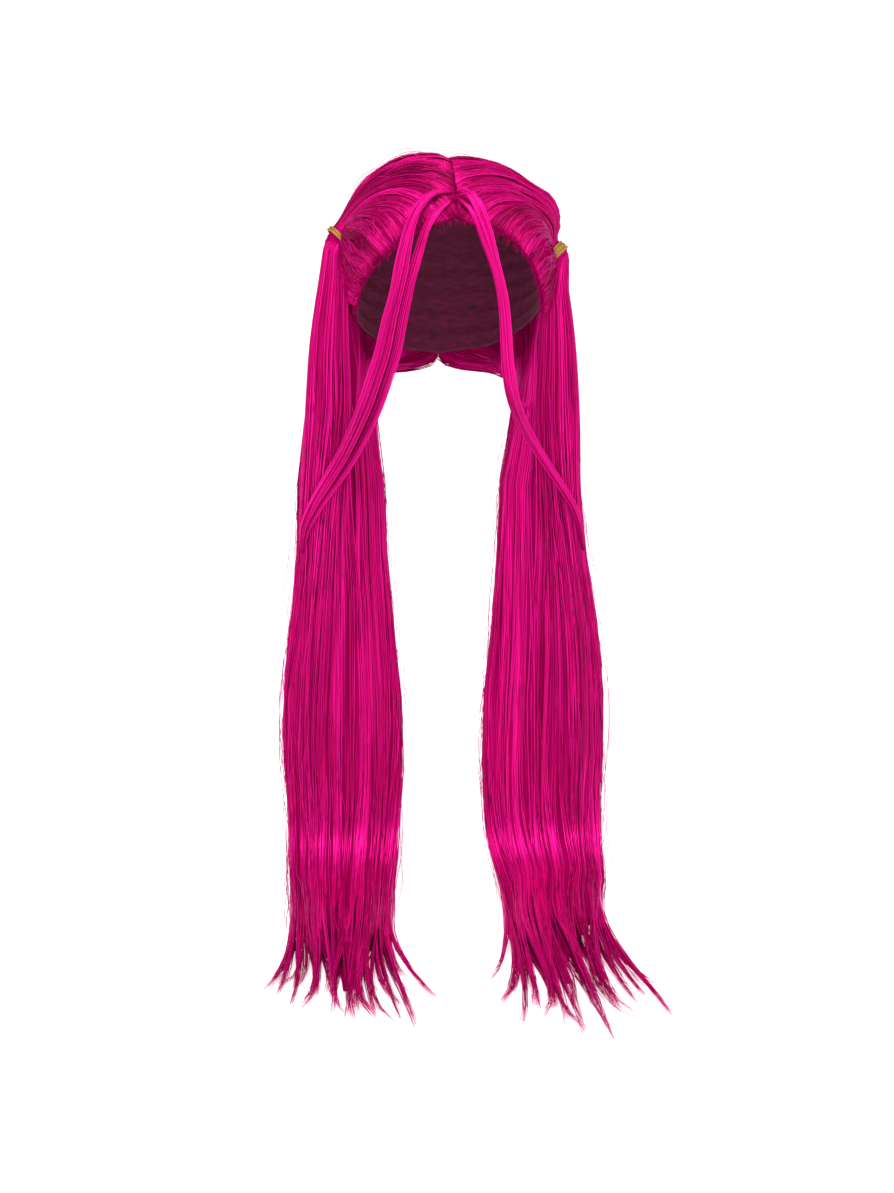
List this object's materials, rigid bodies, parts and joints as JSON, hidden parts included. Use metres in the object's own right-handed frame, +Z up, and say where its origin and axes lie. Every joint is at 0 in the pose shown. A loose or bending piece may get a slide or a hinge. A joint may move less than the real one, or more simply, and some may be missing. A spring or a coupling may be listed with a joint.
{
  "type": "long straight wig with two tied side sections",
  "caption": "Long straight magenta wig: centre part, rolled hairline, side sections tied with elastics, loose front strands, and long hair that ends on the table",
  "frame": {"origin": "the inside top of the cap, where the top of the wearer's head comes", "axes": "+Z up, -Y to the front of the face, +X to the wearer's left"},
  "size_m": [0.3045, 0.4663, 0.6443],
  "materials": {
    "hair": "glossy straight synthetic fibre",
    "cap_net": "matt knitted net",
    "elastic": "yellow cord, satin"
  },
  "bodies": {
    "root": {"wig_cap": "cap_net", "tied_section_right": "hair", "tied_section_left": "hair", "elastic_right": "elastic", "elastic_left": "elastic", "long_hair_right": "hair", "long_hair_left": "hair", "front_strand_right": "hair", "front_strand_left": "hair"}
  },
  "joints": []
}
